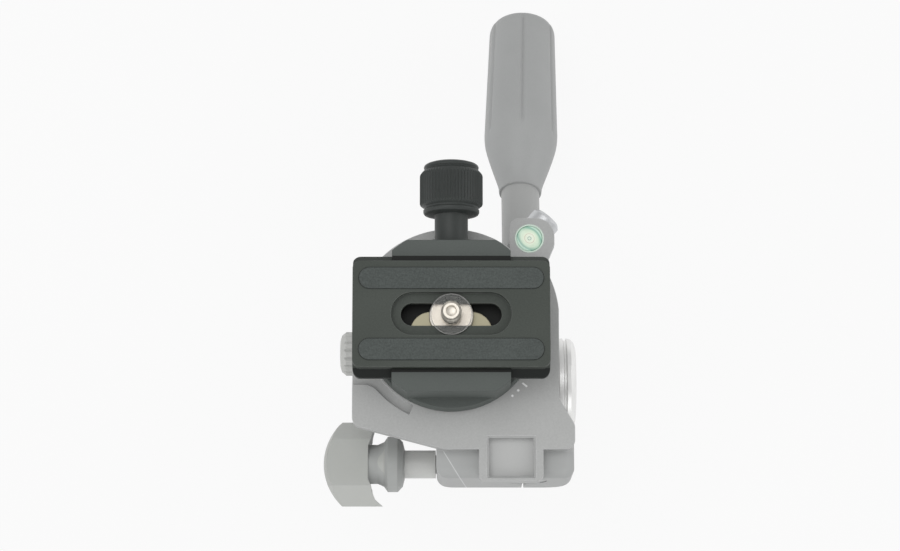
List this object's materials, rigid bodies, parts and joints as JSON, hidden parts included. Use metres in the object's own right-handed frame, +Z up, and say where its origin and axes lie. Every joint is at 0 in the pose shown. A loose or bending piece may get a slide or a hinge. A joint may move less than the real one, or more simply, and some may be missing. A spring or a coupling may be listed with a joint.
{
  "type": "three way pan tilt head",
  "caption": "Three way camera head: panning base, tilting body with a long grip handle, side-tilting platform, swivelling clamp and camera plate.",
  "frame": {"origin": "middle of the base's underside, on the pan axis, at the mouth of the tripod socket", "axes": "+Z up along the pan axis, +Y the side where the long handle leaves, +X the side of the silver tilt disc"},
  "size_m": [0.0818, 0.1733, 0.111],
  "materials": {
    "grey_casting": "satin",
    "rubber": "matte",
    "steel": "satin",
    "black_steel": "satin",
    "acetal": "matte",
    "polished_aluminium": "polished",
    "grey_metal": "satin",
    "grey_rubber": "matte",
    "bubble_green": "gloss",
    "dark_anodised": "satin",
    "dark_knob": "satin",
    "dark_plate": "matte",
    "dark_rubber": "matte",
    "clear_plastic": "gloss",
    "bright_steel": "satin"
  },
  "bodies": {
    "root": {"base_plate": "grey_casting", "base_pad": "rubber", "tripod_insert": "steel", "pan_flange": "steel", "pan_flange_screws": "black_steel"},
    "pan": {"pan_retainer": "steel", "pan_housing": "grey_casting", "trunnion_shaft": "steel", "tilt_friction_washer": "acetal", "tilt_spacer": "steel", "tilt_disc": "polished_aluminium", "pan_brake_shoe": "acetal"},
    "pan_lock": {"pan_lock_knob": "grey_rubber", "pan_lock_screw": "steel"},
    "tilt": {"tilt_body": "grey_casting", "side_shaft": "steel", "side_shaft_washer": "steel", "side_shaft_screw": "black_steel"},
    "handle": {"handle_rod": "steel", "handle_washer": "acetal", "handle_stem": "grey_metal", "handle_grip": "grey_rubber"},
    "side": {"platform": "grey_casting", "bubble_cup": "bubble_green", "bubble_lens": "bubble_green", "swivel_washer": "acetal"},
    "side_lock": {"side_lock_screw": "grey_metal", "side_lock_knob": "grey_rubber"},
    "swivel_lock": {"swivel_lock_knob": "grey_metal", "swivel_lock_screw": "steel"},
    "swivel": {"clamp_base": "dark_anodised", "swivel_spindle": "steel", "swivel_end_washer": "steel", "swivel_end_screw": "black_steel", "clamp_guide_pins": "steel"},
    "jaw": {"clamp_jaw": "dark_anodised"},
    "clamp_knob": {"clamp_knob": "dark_knob", "clamp_screw": "steel"},
    "plate": {"camera_plate": "dark_plate", "plate_pads": "dark_rubber"},
    "screw_carriage": {"camera_washer": "clear_plastic"},
    "camera_screw": {"camera_screw": "bright_steel", "finger_ring": "bright_steel"}
  },
  "joints": [
    {"name": "pan_turn", "type": "hinge", "parent": "root", "child": "pan", "pos_m": [0, 0, 0], "axis": [0, 0, 1], "continuous": true},
    {"name": "pan_lock_turn", "type": "hinge", "parent": "pan", "child": "pan_lock", "pos_m": [0, 0.002, 0.01695], "axis": [1, 0, 0], "range_deg": [0, 270]},
    {"name": "tilt_turn", "type": "hinge", "parent": "pan", "child": "tilt", "pos_m": [0, -0.012, 0.039], "axis": [1, 0, 0], "range_deg": [-30, 50]},
    {"name": "handle_twist", "type": "hinge", "parent": "tilt", "child": "handle", "pos_m": [0.023, 0.014, 0.0575], "axis": [0, 0.932, -0.3624], "range_deg": [0, 120]},
    {"name": "side_turn", "type": "hinge", "parent": "tilt", "child": "side", "pos_m": [0.023, -0.03, 0.0688], "axis": [0, 1, 0], "range_deg": [-10, 85]},
    {"name": "side_lock_turn", "type": "hinge", "parent": "side", "child": "side_lock", "pos_m": [0, -0.0402, 0.0545], "axis": [1, 0, 0], "range_deg": [0, 120]},
    {"name": "swivel_lock_turn", "type": "hinge", "parent": "side", "child": "swivel_lock", "pos_m": [0, 0, 0.0738], "axis": [0.6428, 0.766, 0], "range_deg": [0, 180]},
    {"name": "swivel_turn", "type": "hinge", "parent": "side", "child": "swivel", "pos_m": [0, 0, 0], "axis": [0, 0, 1], "continuous": true},
    {"name": "jaw_slide", "type": "slide", "parent": "swivel", "child": "jaw", "axis": [0, 1, 0], "range_m": [0, 0.00375]},
    {"name": "clamp_knob_turn", "type": "hinge", "parent": "jaw", "child": "clamp_knob", "pos_m": [0, 0.03, 0.095], "axis": [0, 1, 0], "range_deg": [0, 1080]},
    {"name": "plate_slide", "type": "slide", "parent": "swivel", "child": "plate", "axis": [1, 0, 0], "range_m": [-0.008, 0.008]},
    {"name": "screw_slide", "type": "slide", "parent": "plate", "child": "screw_carriage", "axis": [1, 0, 0], "range_m": [-0.0115, 0.0115]},
    {"name": "camera_screw_turn", "type": "hinge", "parent": "screw_carriage", "child": "camera_screw", "pos_m": [0, 0, 0], "axis": [0, 0, 1], "continuous": true}
  ],
  "couplings": [
    {"joint": "jaw_slide", "follows": "clamp_knob_turn", "m_per_rad": 0.00019894}
  ]
}
